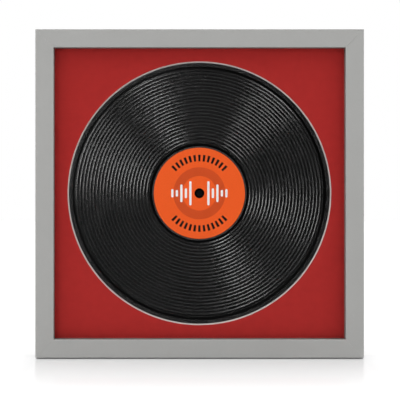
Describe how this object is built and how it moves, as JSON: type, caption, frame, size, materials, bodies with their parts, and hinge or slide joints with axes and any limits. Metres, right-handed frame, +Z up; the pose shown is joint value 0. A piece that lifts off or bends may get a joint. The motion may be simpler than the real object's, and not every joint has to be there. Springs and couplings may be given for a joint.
{
  "type": "vinyl record frame",
  "caption": "Square wall frame with a round mat window that shows a vinyl record, closed at the back by turn buttons.",
  "frame": {"origin": "middle of the bottom rail's underside, halfway through the moulding's depth", "axes": "+Z up, +X to the right seen from the front, and +Y towards the wall, so the front faces -Y"},
  "size_m": [0.375, 0.0253, 0.375],
  "materials": {
    "grey_foil": "matte silver-grey foil wrapped on a wood fibre moulding",
    "clear_sheet": "clear polished acrylic",
    "mat_board": "matte red mat board with a white core",
    "grey_board": "raw grey board",
    "backing_card": "matte black card",
    "fibreboard": "raw brown fibreboard",
    "black_vinyl": "pressed glossy black vinyl",
    "label_paper": "orange printed paper",
    "zinc_steel": "zinc plated steel",
    "bumper_rubber": "matte black rubber"
  },
  "bodies": {
    "frame": {"bottom_rail": "grey_foil", "left_rail": "grey_foil", "top_rail": "grey_foil", "right_rail": "grey_foil", "glazing_sheet": "clear_sheet", "mat_board": "mat_board", "record_carrier": "grey_board", "backing_card": "backing_card", "back_board": "fibreboard", "record_disc": "black_vinyl", "label_front": "label_paper", "label_back": "label_paper", "mitre_wedge_top_right_1": "zinc_steel", "mitre_wedge_top_right_2": "zinc_steel", "mitre_wedge_bottom_right_1": "zinc_steel", "mitre_wedge_bottom_right_2": "zinc_steel", "mitre_wedge_bottom_left_1": "zinc_steel", "mitre_wedge_bottom_left_2": "zinc_steel", "mitre_wedge_top_left_1": "zinc_steel", "mitre_wedge_top_left_2": "zinc_steel", "turn_button_screw_bottom_left": "zinc_steel", "turn_button_screw_bottom_right": "zinc_steel", "turn_button_screw_left_upper": "zinc_steel", "turn_button_screw_left_lower": "zinc_steel", "turn_button_screw_top_right": "zinc_steel", "turn_button_screw_top_left": "zinc_steel", "turn_button_screw_right_lower": "zinc_steel", "turn_button_screw_right_upper": "zinc_steel", "hanger_strap_left": "zinc_steel", "hanger_strap_right": "zinc_steel", "hanger_screw_left": "zinc_steel", "hanger_screw_right": "zinc_steel", "wall_bumper_left": "bumper_rubber", "wall_bumper_right": "bumper_rubber"},
    "button_bottom_left": {"turn_button_bottom_left": "zinc_steel"},
    "button_bottom_right": {"turn_button_bottom_right": "zinc_steel"},
    "button_left_upper": {"turn_button_left_upper": "zinc_steel"},
    "button_left_lower": {"turn_button_left_lower": "zinc_steel"},
    "button_top_right": {"turn_button_top_right": "zinc_steel"},
    "button_top_left": {"turn_button_top_left": "zinc_steel"},
    "button_right_lower": {"turn_button_right_lower": "zinc_steel"},
    "button_right_upper": {"turn_button_right_upper": "zinc_steel"},
    "ring_left": {"hanger_ring_left": "zinc_steel"},
    "ring_right": {"hanger_ring_right": "zinc_steel"}
  },
  "joints": [
    {"name": "turn_bottom_left", "type": "hinge", "parent": "frame", "child": "button_bottom_left", "pos_m": [-0.105, 0.0109, 0.00775], "axis": [0, 1, 0], "continuous": true},
    {"name": "turn_bottom_right", "type": "hinge", "parent": "frame", "child": "button_bottom_right", "pos_m": [0.105, 0.0109, 0.00775], "axis": [0, 1, 0], "continuous": true},
    {"name": "turn_left_upper", "type": "hinge", "parent": "frame", "child": "button_left_upper", "pos_m": [-0.17975, 0.0109, 0.2925], "axis": [0, 1, 0], "continuous": true},
    {"name": "turn_left_lower", "type": "hinge", "parent": "frame", "child": "button_left_lower", "pos_m": [-0.17975, 0.0109, 0.0825], "axis": [0, 1, 0], "continuous": true},
    {"name": "turn_top_right", "type": "hinge", "parent": "frame", "child": "button_top_right", "pos_m": [0.105, 0.0109, 0.36725], "axis": [0, 1, 0], "continuous": true},
    {"name": "turn_top_left", "type": "hinge", "parent": "frame", "child": "button_top_left", "pos_m": [-0.105, 0.0109, 0.36725], "axis": [0, 1, 0], "continuous": true},
    {"name": "turn_right_lower", "type": "hinge", "parent": "frame", "child": "button_right_lower", "pos_m": [0.17975, 0.0109, 0.0825], "axis": [0, 1, 0], "continuous": true},
    {"name": "turn_right_upper", "type": "hinge", "parent": "frame", "child": "button_right_upper", "pos_m": [0.17975, 0.0109, 0.2925], "axis": [0, 1, 0], "continuous": true},
    {"name": "swing_ring_left", "type": "hinge", "parent": "frame", "child": "ring_left", "pos_m": [-0.17175, 0.0126, 0.25], "axis": [0, 0, 1], "range_deg": [-5, 185]},
    {"name": "swing_ring_right", "type": "hinge", "parent": "frame", "child": "ring_right", "pos_m": [0.17175, 0.0126, 0.25], "axis": [0, 0, -1], "range_deg": [-5, 185]}
  ]
}
